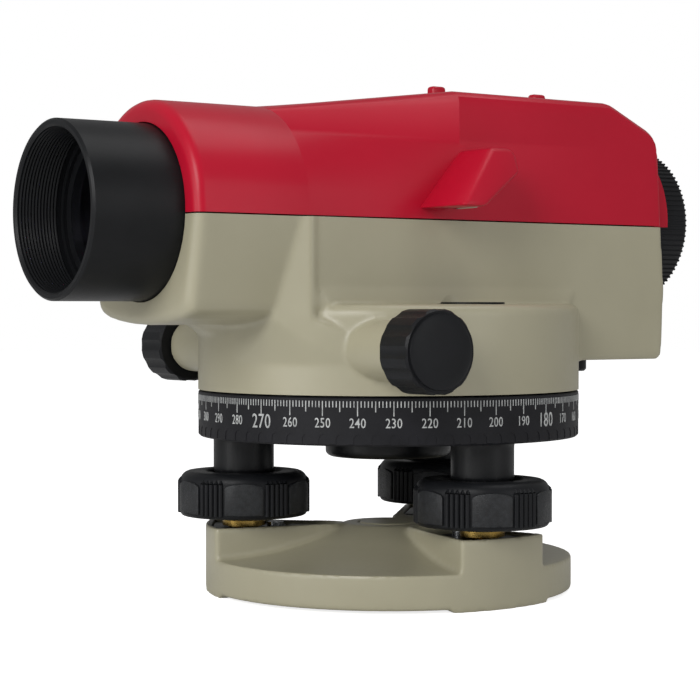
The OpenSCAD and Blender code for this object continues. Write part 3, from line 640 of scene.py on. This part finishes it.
def circleNumbers(c):
    numbers = bmesh.new()
    for degree in range(0, 360, 10):
        curve = bpy.data.curves.new("number", "FONT")
        curve.body = str(degree)
        curve.align_x = "CENTER"
        curve.align_y = "CENTER"
        curve.size = 1
        curve.extrude = 0.02
        curve.offset = 0.004
        curve.resolution_u = 3
        curve.space_character = 1.08
        text = bpy.data.objects.new("number", curve)
        scene.collection.objects.link(text)
        bpy.context.view_layer.update()
        mesh = bpy.data.meshes.new_from_object(text.evaluated_get(bpy.context.evaluated_depsgraph_get()))
        bpy.data.objects.remove(text)
        bpy.data.curves.remove(curve)
        digit = bmesh.new()
        digit.from_mesh(mesh)
        bpy.data.meshes.remove(mesh)
        bmesh.ops.triangulate(digit, faces=digit.faces)
        low, high = (f(v.co.y for v in digit.verts) for f in (min, max))
        size = (c["quarterHigh"] if degree % 90 == 0 else c["digitHigh"]) / (high - low)
        middleY, at = (low + high) / 2, radians(c["zeroAngle"] - degree)
        for v in digit.verts:
            angle = at + v.co.x * size * c["digitWide"] / c["markR"]
            r = c["markR"] + (c["proud"] if v.co.z > 0 else -0.1)
            z = c["digitZ"] + (v.co.y - middleY) * size
            v.co = Vector((r * cos(angle), r * sin(angle), z))
        done = bpy.data.meshes.new("digit")
        digit.to_mesh(done)
        digit.free()
        numbers.from_mesh(done)
        bpy.data.meshes.remove(done)
    bmesh.ops.recalc_face_normals(numbers, faces=numbers.faces)
    return numbers


finished("circleMarks", joined(circleMarks(circle), circleNumbers(circle)), markInk, "circle",
         ["horizontal_circle"], 40)
print("circle made")


# tangent knobs: moulded, twelve shallow scallops and a slightly domed end inside a fine groove
tangent = {"r": 10, "scoopR": 3.4, "scoopAt": 12.95, "length": 11.98, "cap": 0.9, "capR": 8.9,
           "boreR": 2.1, "startY": 51.4}


def tangentKnob(t, side):
    low, high = 0, t["length"]
    face = high - t["cap"]
    profile = [(t["boreR"], low), (t["boreR"], high - 4), (0, high - 4), (0, high), (3, high - 0.06),
               (6, high - 0.25), (t["capR"] - 0.8, high - 0.5), (t["capR"] - 0.15, face + 0.1),
               (t["capR"], face - 0.35), (t["capR"] + 0.25, face - 0.35), (t["r"] - 0.5, face - 0.2),
               (t["r"], face - 0.8), (t["r"], low + 0.6), (t["r"] - 0.6, low)]
    body = turned(profile, steps=144)
    scoops = [rod(t["scoopR"], -2, high + 2, (t["scoopAt"] * cos(a), t["scoopAt"] * sin(a), 0), segments=32)
              for a in (2 * pi * i / 12 for i in range(12))]
    body = carved(body, joined(*scoops))
    shaft = middle("tangent_shaft")
    return placed(body, (shaft.x, side * t["startY"], shaft.z), (0, side, 0))


for side, word in ((1, "left"), (-1, "right")):
    finished(f"tangentKnob{word.title()}", tangentKnob(tangent, side), blackPlastic, "tangent_screw",
             [f"tangent_knob_{word}"], 30)
print("tangent knobs made")


# eyepiece ring and focusing knob: fine straight ribs round a turned body
grips = {"eyepiece": {"r": 20.85, "ribR": 0.3, "ribs": 90, "low": 1.6, "high": 11.6},
         "focus": {"r": 14.85, "ribR": 0.34, "ribs": 60, "low": 1.6, "high": 12.6}}


def ribbedBody(g, profile, origin, axis):
    ribs = [rod(g["ribR"], g["low"], g["high"], (g["r"] * cos(a), g["r"] * sin(a), 0), segments=10)
            for a in (2 * pi * i / g["ribs"] for i in range(g["ribs"]))]
    return placed(joined(turned(profile, steps=180), *ribs), origin, axis)


eyeLow, eyeHigh = (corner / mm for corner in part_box("eyepiece_ring"))
eyeLong, eyeR = eyeHigh.x - eyeLow.x, grips["eyepiece"]["r"]
eyeProfile = [(11, 9), (11, 1), (12, 0.2), (18.6, 0), (19.7, 0.5), (20.4, 1.3), (eyeR, 2.2),
              (eyeR, eyeLong - 1), (eyeR - 0.8, eyeLong), (16.1, eyeLong), (16.1, 9)]
finished("eyepieceRing", ribbedBody(grips["eyepiece"], eyeProfile, (eyeLow.x, 0, middle("eyepiece_ring").z),
                                    (1, 0, 0)), blackPlastic, "eyepiece_ring",
         ["eyepiece_ring"], 30)
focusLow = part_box("focus_knob")[0] / mm
focusMid, focusR = middle("focus_knob"), grips["focus"]["r"]
focusProfile = [(0, 0.6), (9, 0.6), (10, 0), (13.2, 0), (14.3, 0.5), (focusR, 1.5), (focusR, 13.2),
                (13.6, 14.1), (12.8, 14.1), (12.8, 11), (2.55, 11), (2.55, 4), (0, 4)]
focusStart = (focusMid.x, focusLow.y, focusMid.z)
finished("focusKnob", ribbedBody(grips["focus"], focusProfile, focusStart, (0, 1, 0)),
         blackPlastic, "focus_knob", ["focus_knob"], 30)
print("grips made")


# every CAD node keeps its own shape where no piece is built above, in the material of its slot
slotLooks = {"beige_paint": beigePaint, "red_paint": redPaint, "blackened_steel": blackSteel,
             "bright_steel": brightSteel, "brass": turnedBrass, "black_plastic": blackPlastic,
             "black_enamel": blackEnamel, "circle_plastic": circlePlastic, "black_anodised": blackAnodised,
             "bright_aluminium": brightAluminium, "mirror_glass": mirrorGlass,
             "optical_glass": opticalGlass}
for name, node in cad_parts.items():
    look = slotLooks[node.data.materials[0].name.split(".")[0]]
    node.data.materials.clear()
    node.data.materials.append(look)
print("materials on the frame")


# floor and light
def softLight(name, power, size, place, colour="#ffffff"):
    lamp = bpy.data.lights.new(name, "AREA")
    lamp.energy = power
    lamp.shape = "DISK"
    lamp.size = size
    lamp.color = toLinear(colour)[:3]
    holder = bpy.data.objects.new(name, lamp)
    scene.collection.objects.link(holder)
    holder.location = place
    aim = Vector((0, 0, 0.08)) - Vector(place)
    holder.rotation_euler = aim.to_track_quat("-Z", "Y").to_euler()


ground = bmesh.new()
bmesh.ops.create_circle(ground, cap_ends=True, segments=96, radius=3)
groundMesh = bpy.data.meshes.new("floor")
ground.to_mesh(groundMesh)
ground.free()
floor = bpy.data.objects.new("floor", groundMesh)
scene.collection.objects.link(floor)
floorPaper = makeSurface("paleStudioPaper", {
    "dark": "#e9e9e9", "light": "#eeeeee", "cloudMm": 300, "grainMm": 1.5, "roughness": (0.8, 0.9),
    "bumpMm": 0.01})
floor.data.materials.append(floorPaper)
paper = floorPaper.node_tree.nodes["Principled BSDF"]
paper.inputs["Emission Color"].default_value = (1, 1, 1, 1)
# the paper burns out white for the camera only, so it doesn't light the object
seenFloor = addNode(floorPaper.node_tree, "ShaderNodeLightPath").outputs["Is Camera Ray"]
glow = addNode(floorPaper.node_tree, "ShaderNodeMath", {1: 0.8}, {0: seenFloor}, operation="MULTIPLY")
floorPaper.node_tree.links.new(glow.outputs["Value"], paper.inputs["Emission Strength"])
world = bpy.data.worlds.new("studio")
world.use_nodes = True
backdrop = world.node_tree.nodes["Background"]
# white where the camera looks, a dim grey room for the light and the reflections
seen = addNode(world.node_tree, "ShaderNodeLightPath").outputs["Is Camera Ray"]
room = addNode(world.node_tree, "ShaderNodeMapRange", {"To Min": 0.3, "To Max": 1.0}, {"Value": seen})
world.node_tree.links.new(room.outputs["Result"], backdrop.inputs["Strength"])
backdrop.inputs["Color"].default_value = (1, 1, 1, 1)
scene.world = world
scene.view_settings.view_transform = "Standard"
softLight("key", 4.45, 0.5, (0.78, 0.42, 0.5))
softLight("left", 1.15, 0.4, (0.8, -0.02, 0.16))
softLight("fill", 1.1, 0.6, (-0.25, 0.9, 0.3))
softLight("top", 1.5, 0.6, (-0.2, 0.1, 0.9))
